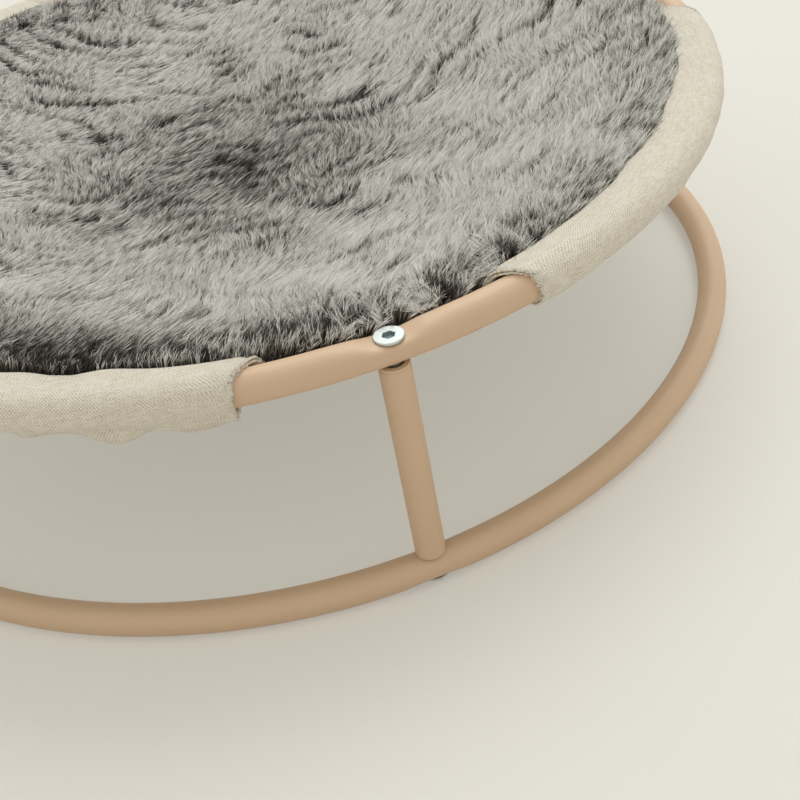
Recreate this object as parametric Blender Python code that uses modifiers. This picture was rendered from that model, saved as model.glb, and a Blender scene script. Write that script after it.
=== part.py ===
"""A round raised pet bed.

Two equal hoops of steel tube lie one above the other, joined by bolted posts. A plush sling
hangs inside the upper hoop from linen sleeves that wrap it and close underneath with hook
and loop strips. Units are metres and +Z is up. The origin is on the floor, below the middle
of the hoops, and the front post stands on -Y.
"""

import math

import bmesh
import bpy
import numpy as np

# The steel frame
HOOP_RADIUS = 0.204
TUBE_RADIUS = 0.006
TUBE_WALL = 0.0012
POST_LENGTH = 0.0824
POST_RADIUS = 0.0055
POST_WALL = 0.001
FIT = 0.0003
OVERRUN = 0.002

# The bolts, one into each end of a post, and the inserts that they screw into
HEAD_RADIUS = 0.00525
HEAD_HEIGHT = 0.0014
HEAD_CHAMFER = 0.0003
SHANK_RADIUS = 0.0027
SHANK_LENGTH = 0.030
SHANK_CHAMFER = 0.0006
HOLE_CLEARANCE = 0.0006
KEY_ACROSS_FLATS = 0.004
SOCKET_DEPTH = 0.002
INSERT_LENGTH = 0.020
INSERT_RECESS = 0.006

# The seats that are pressed into the hoops for the bolts' heads
PRESS_DEPTH = 0.0028
PRESS_MARGIN = 0.0008
PRESS_SLOPE = 0.0045

# The sling: a linen lining with an upturned rim, wadding in it, and the plush on top
RIM_INSET_AT_POST = 0.0069
RIM_INSET_AT_SLEEVE = 0.012
RIM_DROP = 0.0065
RIM_TOP = 0.0052
RIM_CORNER = 0.002
SAG = 0.038
LINING = 0.0008
WADDING = 0.005
WADDING_CORNER = 0.0018
PLUSH_DEPTH = 0.0105
PLUSH_EDGE_DEPTH = 0.0046
PLUSH_ROLL = 0.012
GATHER_DEPTH = 0.0012

# The sleeves and the strips that hold their flaps
BARE_LENGTH = 0.100
SLEEVE_CLOTH = 0.0012
SLEEVE_EASE = 0.0006
SLEEVE_SLACK = 0.0035
PUCKER_DEPTH = 0.0012
SLACK_HANDLE = 0.0065
FLAP_START = 0.002
FLAP_REACH = 0.034
STRIP = 0.0008
STRIP_NEAR = 0.0165
STRIP_FAR = 0.0325
STRIP_END_MARGIN = 0.010

# Counts and shares
POST_NAMES = ("right", "back", "left", "front")
SLEEVE_NAMES = ("back_right", "back_left", "front_left", "front_right")
HOOP_STEPS = 12
SLING_STEPS = 56
TUBE_SIDES = 12
POST_STEPS = 20
BOLT_STEPS = 16
INSERT_STEPS = 12
SOCKET_SIDES = 6
SLEEVE_STEPS = 12
STRIP_STEPS = 10
PUCKERS = 3
GATHERS = 12
GATHER_FROM_SHARE = 0.45
GATHER_TO_SHARE = 0.82
LAYER_SHARES = (0.25, 0.5, 0.7, 0.86)
ROLL_SHARES = (1.0, 0.45, 0.15, 0.0)
OVER_HOOP_DEGREES = (90, 64, 38, 12, -14, -40)
SLACK_SHARES = (0.2, 0.4, 0.6, 0.8, 1.0)
FLAP_SHARES = (0.5, 1.0)
MERGE_DISTANCE = 0.00001

# Heights and radii that follow from the sizes above
PRESSED_HEIGHT = TUBE_RADIUS - PRESS_DEPTH
HEAD_SEAT = PRESSED_HEIGHT + FIT
LOWER_HEIGHT = TUBE_RADIUS
POST_FOOT = LOWER_HEIGHT + TUBE_RADIUS + FIT
POST_TOP = POST_FOOT + POST_LENGTH
UPPER_HEIGHT = POST_TOP + FIT + TUBE_RADIUS
RIM_RADIUS = HOOP_RADIUS - RIM_INSET_AT_POST
POST_COUNT = len(POST_NAMES)
QUARTER = math.tau / POST_COUNT
POST_ANGLES = [QUARTER * i for i in range(POST_COUNT)]
HALF_BARE_ANGLE = BARE_LENGTH / HOOP_RADIUS / 2


def new_collection(name, parent):
    collection = bpy.data.collections.new(name)
    parent.children.link(collection)
    return collection


def clear_scene():
    for old in list(bpy.data.objects):
        bpy.data.objects.remove(old, do_unlink=True)


clear_scene()
bed = new_collection("round_pet_bed", bpy.context.scene.collection)
cutters = new_collection("cutters", bpy.context.scene.collection)


def paint(name, colour, roughness, metallic=0.0):
    material = bpy.data.materials.new(name)
    material.use_nodes = True
    shader = material.node_tree.nodes["Principled BSDF"]
    shader.inputs["Base Color"].default_value = (*colour, 1.0)
    shader.inputs["Roughness"].default_value = roughness
    shader.inputs["Metallic"].default_value = metallic
    return material


POWDER_COAT = paint("sand_powder_coat", (0.60, 0.43, 0.28), 0.45)
ZINC = paint("zinc_plate", (0.62, 0.66, 0.65), 0.25, 1.0)
DARK_STEEL = paint("dark_steel", (0.05, 0.05, 0.05), 0.4, 1.0)
LINEN = paint("linen", (0.57, 0.53, 0.44), 0.9)
PLUSH = paint("grey_brown_plush", (0.30, 0.28, 0.25), 1.0)
WHITE_WADDING = paint("white_wadding", (0.80, 0.80, 0.78), 1.0)
STRIP_NYLON = paint("beige_nylon_strip", (0.50, 0.46, 0.38), 0.8)


def add(name, mesh, material, place=(0, 0, 0), collection=bed):
    """A named object that shows the mesh, in its collection."""
    made = bpy.data.objects.new(name, mesh)
    made.location = place
    collection.objects.link(made)
    if material and not mesh.materials:
        mesh.materials.append(material)
    return made


def settled(made):
    """The object's mesh with its modifiers applied. The object itself is removed."""
    graph = bpy.context.evaluated_depsgraph_get()
    mesh = bpy.data.meshes.new_from_object(made.evaluated_get(graph))
    bpy.data.objects.remove(made, do_unlink=True)
    return mesh


def turned(name, profile, steps, closed=False):
    """A mesh turned round Z from (radius, height) points that run down its outer side."""
    count = len(profile)
    edges = [(i, i + 1) for i in range(count - 1)]
    if closed:
        edges.append((count - 1, 0))
    outline = bpy.data.meshes.new(name)
    outline.from_pydata([(radius, 0, height) for radius, height in profile], edges, [])
    made = add(name, outline, None)
    screw = made.modifiers.new("turn", "SCREW")
    screw.steps = steps
    screw.render_steps = steps
    screw.use_merge_vertices = True
    screw.merge_threshold = MERGE_DISTANCE
    mesh = settled(made)
    mesh.name = name
    return mesh


def tube_profile(outer, inner, length):
    """A straight tube that stands on Z = 0."""
    return [(outer, length), (outer, 0), (inner, 0), (inner, length)]


def smooth(made, sharp_degrees=35):
    made.data.shade_smooth()
    made.data.set_sharp_from_angle(angle=math.radians(sharp_degrees))


def on_hoop(angle, height):
    """The point on the circle of the hoop's centre line at this angle and height."""
    return (HOOP_RADIUS * math.cos(angle), HOOP_RADIUS * math.sin(angle), height)


def bolt_hole_cutter():
    """A drill for the bolt's shank, through both walls of the tube."""
    end = TUBE_RADIUS + OVERRUN
    wide = SHANK_RADIUS + HOLE_CLEARANCE
    return turned("bolt_hole", [(0, end), (wide, end), (wide, -end), (0, -end)], BOLT_STEPS)


def hoop_cuts():
    """Each cut across the hoop: its angle, and how far up a seat's side it may reach."""
    flat = (HEAD_RADIUS + PRESS_MARGIN) / HOOP_RADIUS
    end = flat + PRESS_SLOPE / HOOP_RADIUS
    cuts = []
    for post in POST_ANGLES:
        cuts.append((post - flat, PRESSED_HEIGHT))
        cuts.append((post + flat, PRESSED_HEIGHT))
        for turn in np.linspace(end, QUARTER - end, HOOP_STEPS + 1):
            cuts.append((post + turn, TUBE_RADIUS))
    return cuts


def hoop_mesh(name, seat_side):
    """A tube of flat facets, one of them level above and one below, that is bent round to
    a ring. Over the posts it is pressed flat on the seat's side, which is 1 up, -1 down."""
    corner = TUBE_RADIUS / math.cos(math.pi / TUBE_SIDES)
    points = []
    for angle, reach in hoop_cuts():
        for side in range(TUBE_SIDES):
            turn = math.tau * (side + 0.5) / TUBE_SIDES
            radius = HOOP_RADIUS + corner * math.cos(turn)
            up = min(corner * math.sin(turn) * seat_side, reach) * seat_side
            points.append((radius * math.cos(angle), radius * math.sin(angle), up))
    grid = np.arange(len(points)).reshape(-1, TUBE_SIDES)
    ahead = np.roll(grid, -1, axis=0)
    faces = np.stack((grid, ahead, np.roll(ahead, -1, axis=1), np.roll(grid, -1, axis=1)), axis=2)
    mesh = bpy.data.meshes.new(name)
    mesh.from_pydata(points, [], faces.reshape(-1, 4).tolist())
    return mesh


def hoop(name, height, hole, seat_side):
    """A ring of tube, pressed flat and drilled through both walls over each post."""
    made = add(name, hoop_mesh(name, seat_side), POWDER_COAT, (0, 0, height))
    smooth(made)
    wall = made.modifiers.new("wall", "SOLIDIFY")
    wall.thickness = TUBE_WALL
    drills = new_collection(name + "_drills", cutters)
    for post, angle in zip(POST_NAMES, POST_ANGLES):
        drill = add(name + "_drill_" + post, hole, None, on_hoop(angle, height), drills)
        drill.hide_render = True
        drill.display_type = "WIRE"
    drilled = made.modifiers.new("bolt holes", "BOOLEAN")
    drilled.operand_type = "COLLECTION"
    drilled.collection = drills


def bolt_mesh():
    """A flat head above Z = 0, a plain shank at the thread's pitch radius, a hex socket."""
    tip = -SHANK_LENGTH
    profile = [
        (0, HEAD_HEIGHT),
        (HEAD_RADIUS - HEAD_CHAMFER, HEAD_HEIGHT),
        (HEAD_RADIUS, HEAD_HEIGHT - HEAD_CHAMFER),
        (HEAD_RADIUS, 0),
        (SHANK_RADIUS, 0),
        (SHANK_RADIUS, tip + SHANK_CHAMFER),
        (SHANK_RADIUS - SHANK_CHAMFER, tip),
        (0, tip),
    ]
    blank = add("bolt_blank", turned("bolt", profile, BOLT_STEPS), ZINC)
    key = bpy.data.meshes.new("hex_key")
    shape = bmesh.new()
    bmesh.ops.create_cone(
        shape,
        cap_ends=True,
        segments=SOCKET_SIDES,
        radius1=KEY_ACROSS_FLATS / math.sqrt(3),
        radius2=KEY_ACROSS_FLATS / math.sqrt(3),
        depth=2 * SOCKET_DEPTH,
    )
    shape.to_mesh(key)
    shape.free()
    cutter = add("hex_key", key, None, (0, 0, HEAD_HEIGHT), cutters)
    socket = blank.modifiers.new("socket", "BOOLEAN")
    socket.object = cutter
    mesh = settled(blank)
    bpy.data.objects.remove(cutter, do_unlink=True)
    return mesh


def build_frame():
    hole = bolt_hole_cutter()
    hoop("upper_ring", UPPER_HEIGHT, hole, 1)
    hoop("lower_ring", LOWER_HEIGHT, hole, -1)
    bore = POST_RADIUS - POST_WALL
    post = turned("post", tube_profile(POST_RADIUS, bore, POST_LENGTH), POST_STEPS, True)
    thread = SHANK_RADIUS + FIT
    collar = tube_profile(bore - FIT, thread, INSERT_LENGTH)
    insert = turned("insert", collar, INSERT_STEPS, True)
    bolt = bolt_mesh()
    upper_insert = POST_TOP - INSERT_RECESS - INSERT_LENGTH
    lower_insert = POST_FOOT + INSERT_RECESS
    for name, angle in zip(POST_NAMES, POST_ANGLES):
        smooth(add("post_" + name, post, POWDER_COAT, on_hoop(angle, POST_FOOT)))
        smooth(add("top_insert_" + name, insert, DARK_STEEL, on_hoop(angle, upper_insert)))
        smooth(add("bottom_insert_" + name, insert, DARK_STEEL, on_hoop(angle, lower_insert)))
        top_seat = on_hoop(angle, UPPER_HEIGHT + HEAD_SEAT)
        low_seat = on_hoop(angle, LOWER_HEIGHT - HEAD_SEAT)
        smooth(add("top_bolt_" + name, bolt, ZINC, top_seat))
        bottom = add("bottom_bolt_" + name, bolt, ZINC, low_seat)
        bottom.rotation_euler.x = math.pi


def rim_radius(angle):
    """The sling's outer edge: near the hoop at a post, and drawn in along a sleeve."""
    draw = (1 - np.cos(POST_COUNT * angle)) / 2
    inset = RIM_INSET_AT_POST + (RIM_INSET_AT_SLEEVE - RIM_INSET_AT_POST) * draw
    return HOOP_RADIUS - inset


def sling_height(share):
    """The height of the lining's under side, a parabola in the share of the rim's radius."""
    return UPPER_HEIGHT - RIM_DROP - SAG * (1 - share * share)


def dish(radii, lift):
    """Profile points on the sling's parabola, raised by a lift."""
    return [(radius, sling_height(radius / RIM_RADIUS) + lift) for radius in radii]


def lining_profile():
    """The linen under side with its upturned rim, from the pole on top round to below."""
    inner = RIM_RADIUS - LINING
    corner_in = [(inner, sling_height(inner / RIM_RADIUS) + LINING + RIM_CORNER)]
    corner_out = [(RIM_RADIUS, sling_height(1) + RIM_CORNER)]
    top = UPPER_HEIGHT + RIM_TOP
    inside = [0] + [share * inner for share in LAYER_SHARES] + [inner - RIM_CORNER]
    outside = [0] + [share * RIM_RADIUS for share in LAYER_SHARES] + [RIM_RADIUS - RIM_CORNER]
    rim = [(inner, top), (RIM_RADIUS, top)]
    return dish(inside, LINING) + corner_in + rim + corner_out + dish(outside[::-1], 0)


def wadding_profile():
    """A flat pad that follows the sling, with rounded edges."""
    edge = RIM_RADIUS - LINING - FIT
    low = LINING + FIT
    high = low + WADDING
    under = [0] + [share * edge for share in LAYER_SHARES] + [edge - RIM_CORNER]
    over = [0] + [share * edge for share in LAYER_SHARES] + [edge - WADDING_CORNER]
    side_top = dish([edge], high - WADDING_CORNER)
    side_low = dish([edge], low + RIM_CORNER)
    return dish(over, high) + side_top + side_low + dish(under[::-1], low)


def plush_profile():
    """The plush to the tips of its pile: a dish whose top rolls down to the seam."""
    edge = RIM_RADIUS - LINING - FIT
    low = LINING + FIT + WADDING + FIT
    top = dish([0] + [share * edge for share in LAYER_SHARES], low + PLUSH_DEPTH)
    for share in ROLL_SHARES:
        rise = math.sqrt(1 - (1 - share) ** 2)
        depth = PLUSH_EDGE_DEPTH + (PLUSH_DEPTH - PLUSH_EDGE_DEPTH) * rise
        top += dish([edge - share * PLUSH_ROLL], low + depth)
    under = [edge] + [share * edge for share in LAYER_SHARES[::-1]] + [0]
    return top + dish(under, low)


def fit_to_hoop(mesh, gathered=False):
    """Draws a turned layer in to the scalloped rim, and lets the linen hang in gathers."""
    for vertex in mesh.vertices:
        angle = math.atan2(vertex.co.y, vertex.co.x)
        radius = math.hypot(vertex.co.x, vertex.co.y)
        share = radius / RIM_RADIUS
        draw = rim_radius(angle) / RIM_RADIUS
        vertex.co.x *= draw
        vertex.co.y *= draw
        if gathered and GATHER_FROM_SHARE < share < GATHER_TO_SHARE:
            across = (share - GATHER_FROM_SHARE) / (GATHER_TO_SHARE - GATHER_FROM_SHARE)
            fold = (1 - math.cos(GATHERS * angle)) / 2
            vertex.co.z -= GATHER_DEPTH * fold * math.sin(math.pi * across) ** 2


def build_sling():
    layers = (
        ("sling_underside", lining_profile(), LINEN, True),
        ("wadding", wadding_profile(), WHITE_WADDING, False),
        ("plush_top", plush_profile(), PLUSH, False),
    )
    for name, profile, material, gathered in layers:
        mesh = turned(name, profile, SLING_STEPS)
        fit_to_hoop(mesh, gathered)
        smooth(add(name, mesh, material), 60)


def below_sling(outward, angle, drop):
    """(outward, up) from the hoop's centre line, this far below the lining."""
    share = (HOOP_RADIUS + outward) / rim_radius(angle)
    return outward, sling_height(share) - drop - UPPER_HEIGHT


def bend(start, start_aim, end, end_aim, share):
    """A point on the cubic curve that leaves start and reaches end along the two aims."""
    points = np.array([start, start + start_aim, end - end_aim, end])
    left = 1 - share
    weights = (left**3, 3 * left * left * share, 3 * left * share * share, share**3)
    return np.dot(weights, points)


def sleeve_section(angle, share):
    """The middle of the cloth in a cut across the hoop: seam, over, slack below, flap."""
    wrap = TUBE_RADIUS + SLEEVE_EASE + SLEEVE_CLOTH / 2
    inset = HOOP_RADIUS - rim_radius(angle)
    points = [np.array([-inset - LINING / 2, RIM_TOP + FIT + SLEEVE_CLOTH / 2])]
    for degrees in OVER_HOOP_DEGREES:
        turn = math.radians(degrees)
        points.append(wrap * np.array([math.cos(turn), math.sin(turn)]))
    leave = math.radians(OVER_HOOP_DEGREES[-1])
    drop = 2 * STRIP + 3 * FIT + SLEEVE_CLOTH / 2
    flap_start = -inset - FLAP_START
    first = np.array(below_sling(flap_start, angle, drop))
    last = np.array(below_sling(-FLAP_REACH, angle, drop))
    down = SLACK_HANDLE * np.array([math.sin(leave), -math.cos(leave)])
    inward = SLACK_HANDLE * (last - first) / np.linalg.norm(last - first)
    slack = SLEEVE_SLACK + PUCKER_DEPTH * math.cos(math.tau * PUCKERS * share)
    hang = np.array([0, slack])
    start = points[-1]
    for part in SLACK_SHARES:
        points.append(bend(start, down - hang, first, inward + hang, part))
    for part in FLAP_SHARES:
        points.append(np.array(below_sling(first[0] + part * (last[0] - first[0]), angle, drop)))
    return points


def cloth_band(name, sections, angles, thickness, material):
    """A grid with one section at each angle round the hoop, thickened to cloth."""
    rows = len(angles)
    across = len(sections[0])
    shape = bmesh.new()
    bmesh.ops.create_grid(shape, x_segments=across - 1, y_segments=rows - 1, size=1)
    shape.verts.ensure_lookup_table()
    for vertex in shape.verts:
        column = round((vertex.co.x + 1) / 2 * (across - 1))
        row = round((vertex.co.y + 1) / 2 * (rows - 1))
        outward, up = sections[row][column]
        radius = HOOP_RADIUS + outward
        vertex.co.x = radius * math.cos(angles[row])
        vertex.co.y = radius * math.sin(angles[row])
        vertex.co.z = UPPER_HEIGHT + up
    mesh = bpy.data.meshes.new(name)
    shape.to_mesh(mesh)
    shape.free()
    made = add(name, mesh, material)
    smooth(made, 60)
    cloth = made.modifiers.new("cloth", "SOLIDIFY")
    cloth.thickness = thickness
    cloth.offset = 0


def spread_angles(post_angle, margin, steps):
    """Angles from one post's bare stretch to the next one's, inside a margin at each end."""
    start = post_angle + HALF_BARE_ANGLE + margin
    end = post_angle + QUARTER - HALF_BARE_ANGLE - margin
    return np.linspace(start, end, steps + 1)


def strip_sections(angles, drop):
    places = np.linspace(-STRIP_NEAR, -STRIP_FAR, 3)
    return [[below_sling(place, angle, drop) for place in places] for angle in angles]


def build_sleeves():
    for name, post_angle in zip(SLEEVE_NAMES, POST_ANGLES):
        angles = spread_angles(post_angle, 0, SLEEVE_STEPS)
        shares = np.linspace(0, 1, len(angles))
        sections = [sleeve_section(angle, share) for angle, share in zip(angles, shares)]
        cloth_band("sleeve_" + name, sections, angles, SLEEVE_CLOTH, LINEN)
        margin = STRIP_END_MARGIN / HOOP_RADIUS
        angles = spread_angles(post_angle, margin, STRIP_STEPS)
        loop = strip_sections(angles, FIT + STRIP / 2)
        hook = strip_sections(angles, 2 * FIT + STRIP + STRIP / 2)
        cloth_band("loop_strip_" + name, loop, angles, STRIP, STRIP_NYLON)
        cloth_band("hook_strip_" + name, hook, angles, STRIP, STRIP_NYLON)


build_frame()
build_sling()
build_sleeves()
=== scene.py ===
"""The looks of a round raised pet bed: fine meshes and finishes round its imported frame."""

import math

import bmesh
import bpy
import numpy as np
from mathutils import Matrix, Vector


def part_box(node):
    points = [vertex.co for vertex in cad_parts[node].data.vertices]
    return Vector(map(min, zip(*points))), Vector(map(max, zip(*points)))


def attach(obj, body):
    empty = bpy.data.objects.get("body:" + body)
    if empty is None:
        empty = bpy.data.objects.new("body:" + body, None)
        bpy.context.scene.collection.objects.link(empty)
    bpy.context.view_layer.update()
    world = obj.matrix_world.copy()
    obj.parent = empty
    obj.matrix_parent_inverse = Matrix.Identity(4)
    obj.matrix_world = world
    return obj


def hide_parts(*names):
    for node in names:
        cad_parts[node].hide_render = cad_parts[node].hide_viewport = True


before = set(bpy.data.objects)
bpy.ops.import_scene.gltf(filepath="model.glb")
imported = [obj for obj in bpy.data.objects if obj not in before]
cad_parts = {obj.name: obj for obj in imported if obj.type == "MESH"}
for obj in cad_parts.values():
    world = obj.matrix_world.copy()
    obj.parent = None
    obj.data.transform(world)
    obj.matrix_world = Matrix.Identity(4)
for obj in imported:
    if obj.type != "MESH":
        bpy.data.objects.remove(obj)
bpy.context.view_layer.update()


# The two hoops
# Each is a ring of steel tube, rolled round, welded and given a satin powder coat the
# colour of sand. It is pressed a little flat and drilled where each bolt goes through.

upper_low, upper_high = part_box("upper_ring")
lower_low, lower_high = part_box("lower_ring")
TUBE_RADIUS = (upper_high.z - upper_low.z) / 2
HOOP_RADIUS = upper_high.x - TUBE_RADIUS
UPPER_HEIGHT = (upper_high.z + upper_low.z) / 2
LOWER_HEIGHT = (lower_high.z + lower_low.z) / 2
POST_NAMES = ("right", "back", "left", "front")
POST_COUNT = len(POST_NAMES)
QUARTER = math.tau / POST_COUNT
POST_ANGLES = [QUARTER * i for i in range(POST_COUNT)]
HOOP_STEPS = 480
TUBE_STEPS = 36
FINER_NEAR_POSTS = 0.8
PRESS_DEPTH = 0.0028
PRESS_REACH = 0.0052
PRESS_SLOPE = 0.0075
BOW_SHARE = 0.55
BOW_SLOPE = 0.0240
PRESS_SQUARENESS = 0.45
HOLE_RADIUS = 0.0030
HOLE_STEPS = 32
SAME_POINT = 1e-7
COAT_RELIEF = 0.000012
SAND = (0.655, 0.466, 0.306, 1)
SAND_DULL = (0.610, 0.428, 0.278, 1)


def ease(share):
    """Zero up to 0 and one from 1 on; between them three share squared less two share cubed."""
    share = np.clip(share, 0, 1)
    return share * share * (3 - 2 * share)


def cells(grid):
    """The four corners of each cell of a grid, in order round the cell."""
    return np.stack((grid[:-1, :-1], grid[1:, :-1], grid[1:, 1:], grid[:-1, 1:]), axis=2)


def mesh_from(name, points, faces, flat, map_name="cut"):
    """A smooth mesh from points, faces with the same count of corners, and corners laid flat."""
    count, corners = faces.shape
    mesh = bpy.data.meshes.new(name)
    mesh.vertices.add(len(points))
    mesh.vertices.foreach_set("co", points.astype(np.float32).ravel())
    mesh.loops.add(count * corners)
    mesh.loops.foreach_set("vertex_index", faces.astype(np.int32).ravel())
    mesh.polygons.add(count)
    mesh.polygons.foreach_set("loop_start", np.arange(count, dtype=np.int32) * corners)
    mesh.update(calc_edges=True)
    layer = mesh.uv_layers.new(name=map_name)
    layer.uv.foreach_set("vector", flat.astype(np.float32).ravel())
    mesh.shade_smooth()
    return mesh


def skin(name, points, rows_at, columns_at, ring=False, loop=False, cuts=()):
    """A mesh on a grid of points. A ring joins its last row to the first, and a loop its
    last column to the first. rows_at and columns_at lay the grid flat, in metres, and have
    one more place where the grid closes. After each row in cuts the cloth is open."""
    rows, columns = points.shape[:2]
    down = np.arange(rows + ring) % rows
    across = np.arange(columns + loop) % columns
    faces = cells(down[:, None] * columns + across[None, :])
    flat = cells(np.stack(np.meshgrid(rows_at, columns_at, indexing="ij"), axis=-1))
    faces = np.delete(faces, cuts, axis=0).reshape(-1, 4)
    return mesh_from(name, points.reshape(-1, 3), faces, np.delete(flat, cuts, axis=0))


def sealed(mesh):
    """Merges the points that meet at a pole, and turns every face outward."""
    shape = bmesh.new()
    shape.from_mesh(mesh)
    bmesh.ops.remove_doubles(shape, verts=shape.verts, dist=SAME_POINT)
    bmesh.ops.recalc_face_normals(shape, faces=shape.faces)
    shape.to_mesh(mesh)
    shape.free()
    return mesh


def put(name, mesh, finish, slot, *stands_for):
    """A piece that shows the mesh in a finish and stands for nodes of the frame."""
    made = bpy.data.objects.new(name, mesh)
    bpy.context.scene.collection.objects.link(made)
    mesh.materials.append(finish)
    if stands_for:
        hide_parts(*stands_for)
    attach(made, "root")
    return made


def polar(radius, angle, height):
    """Points at a radius and an angle round the bed's axis, and a height."""
    parts = np.broadcast_arrays(radius * np.cos(angle), radius * np.sin(angle), height)
    return np.stack(parts, axis=-1)


class Wire:
    """One output in a material's nodes. Sums with numbers and other wires add Math nodes."""

    def __init__(self, tree, socket=None):
        self.tree = tree
        self.socket = socket

    def node(self, kind, settings, sockets, out=0):
        """Adds a node: its settings or its ramp's stops, then each socket's value or wire."""
        made = self.tree.nodes.new("ShaderNode" + kind)
        for name, value in settings.items():
            if name == "stops":
                ramp = made.color_ramp.elements
                while len(ramp) < len(value):
                    ramp.new(1)
                for stop, (place, colour) in zip(ramp, value):
                    stop.position = place
                    stop.color = colour
            else:
                setattr(made, name, value)
        for name, value in sockets.items():
            if isinstance(value, Wire):
                self.tree.links.new(value.socket, made.inputs[name])
            else:
                made.inputs[name].default_value = value
        return Wire(self.tree, made.outputs[out])

    def math(self, operation, *others):
        """This wire through a Math node, with the other wires or numbers after it."""
        return self.node("Math", {"operation": operation}, dict(enumerate((self, *others))))

    def __add__(self, other):
        return self.math("ADD", other)

    def __sub__(self, other):
        return self.math("SUBTRACT", other)

    def __rsub__(self, other):
        return self.math("MULTIPLY", -1.0).math("ADD", other)

    def __mul__(self, other):
        return self.math("MULTIPLY", other)

    def __truediv__(self, other):
        return self.math("DIVIDE", other)

    def __pow__(self, other):
        return self.math("POWER", other)

    __radd__ = __add__
    __rmul__ = __mul__

    def on_object(self):
        """The place on the object, in metres."""
        return self.node("TexCoord", {}, {}, out=3)

    def on_cut(self):
        """The place on the flat cut of a piece, in metres."""
        return self.node("UVMap", {"uv_map": "cut"}, {})

    def axis(self, which):
        """One of this vector's numbers."""
        return self.node("SeparateXYZ", {}, {0: self}, out=which)

    def limited(self):
        """This wire held between 0 and 1."""
        return self.math("MAXIMUM", 0.0).math("MINIMUM", 1.0)

    def blend(self, first, second):
        """The first colour where this wire is 0, and the second where it is 1."""
        sockets = {0: self, 6: first, 7: second}
        return self.node("Mix", {"data_type": "RGBA"}, sockets, out=2)

    def noise(self, where, scale, detail=2.0):
        """Cloudy values about one half, whose clouds are one over the scale in size."""
        return self.node("TexNoise", {}, {"Vector": where, "Scale": scale, "Detail": detail})

    def relief(self, depth):
        """A bumped normal from this wire, where 1 stands the depth in metres above 0."""
        return self.node("Bump", {}, {"Height": self, "Distance": depth, "Strength": 1.0})


def new_finish(name, constants):
    """A material with constants on its shader's sockets, and a wire into its nodes."""
    material = bpy.data.materials.new(name)
    material.use_nodes = True
    shader = material.node_tree.nodes["Principled BSDF"]
    for socket, value in constants.items():
        shader.inputs[socket].default_value = value
    return material, Wire(material.node_tree)


def feed(material, sockets):
    """Runs wires into the sockets of the material's shader."""
    shader = material.node_tree.nodes["Principled BSDF"]
    for name, wire in sockets.items():
        material.node_tree.links.new(wire.socket, shader.inputs[name])


def powder_coat():
    """Baked sand-coloured powder: fine orange peel, faint clouds and duller rubbed spots."""
    material, start = new_finish("sand_powder_coat", {"Specular IOR Level": 0.62})
    place = start.on_object()
    peel = start.noise(place, 900.0, 1.0)
    cloud = start.noise(place, 45.0, 3.0)
    rub = start.noise(place, 210.0, 5.0).math("GREATER_THAN", 0.66)
    colour = cloud.blend(SAND, SAND_DULL)
    feed(material, {
        "Base Color": colour,
        "Roughness": cloud * 0.14 + rub * 0.06 + 0.42,
        "Normal": peel.relief(COAT_RELIEF),
    })
    return material


def hoop_points(height, seat_side):
    """A tube carried round a circle. At turn b round the tube, a point lies its radius
    times cos b out from the circle and times sin b up. Over a post both are raised to a
    power under one on the seat's side, which squares the tube's shoulders, and the height
    there is less by the press's depth. The press is a bow and a flatter seat in it."""
    even = np.linspace(0, math.tau, HOOP_STEPS, endpoint=False)
    turn = (even - FINER_NEAR_POSTS * np.sin(POST_COUNT * even) / POST_COUNT)[:, None]
    around = np.linspace(0, math.tau, TUBE_STEPS, endpoint=False)[None, :]
    from_post = HOOP_RADIUS * np.abs(turn - QUARTER * np.round(turn / QUARTER))
    bow = ease(1 - from_post / BOW_SLOPE)
    seat = ease(1 - (from_post - PRESS_REACH) / PRESS_SLOPE)
    near = BOW_SHARE * bow + (1 - BOW_SHARE) * seat
    pressed = near * (seat_side * np.sin(around) > 0)
    power = 1 - PRESS_SQUARENESS * pressed
    out = np.sign(np.cos(around)) * np.abs(np.cos(around)) ** power
    up = np.sign(np.sin(around)) * np.abs(np.sin(around)) ** power
    up = up * (TUBE_RADIUS - PRESS_DEPTH * pressed)
    return polar(HOOP_RADIUS + TUBE_RADIUS * out, turn, height + up)


def drilled(mesh, height):
    """The mesh with a round hole through the hoop at each post, cut by an exact boolean."""
    drills = bmesh.new()
    for angle in POST_ANGLES:
        spot = (HOOP_RADIUS * math.cos(angle), HOOP_RADIUS * math.sin(angle), height)
        bmesh.ops.create_cone(
            drills, cap_ends=True, segments=HOLE_STEPS, radius1=HOLE_RADIUS,
            radius2=HOLE_RADIUS, depth=4 * TUBE_RADIUS, matrix=Matrix.Translation(spot))
    drill_mesh = bpy.data.meshes.new("drills")
    drills.to_mesh(drill_mesh)
    drills.free()
    blank = bpy.data.objects.new("blank", mesh)
    tool = bpy.data.objects.new("drills", drill_mesh)
    for made in (blank, tool):
        bpy.context.scene.collection.objects.link(made)
    cut = blank.modifiers.new("cut", "BOOLEAN")
    cut.operation = "DIFFERENCE"
    cut.solver = "EXACT"
    cut.object = tool
    result = bpy.data.meshes.new_from_object(blank.evaluated_get(bpy.context.evaluated_depsgraph_get()))
    bpy.data.objects.remove(blank)
    bpy.data.objects.remove(tool)
    return result


SAND_COAT = powder_coat()
round_bed = np.linspace(0, math.tau * HOOP_RADIUS, HOOP_STEPS + 1)
round_tube = np.linspace(0, math.tau * TUBE_RADIUS, TUBE_STEPS + 1)
for name, height, seat_side in (("upper", UPPER_HEIGHT, 1), ("lower", LOWER_HEIGHT, -1)):
    tube = hoop_points(height, seat_side)
    mesh = sealed(skin("hoop_" + name, tube, round_bed, round_tube, ring=True, loop=True))
    put("hoop_" + name, drilled(mesh, height), SAND_COAT, "powder_coat", name + "_ring")


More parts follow.
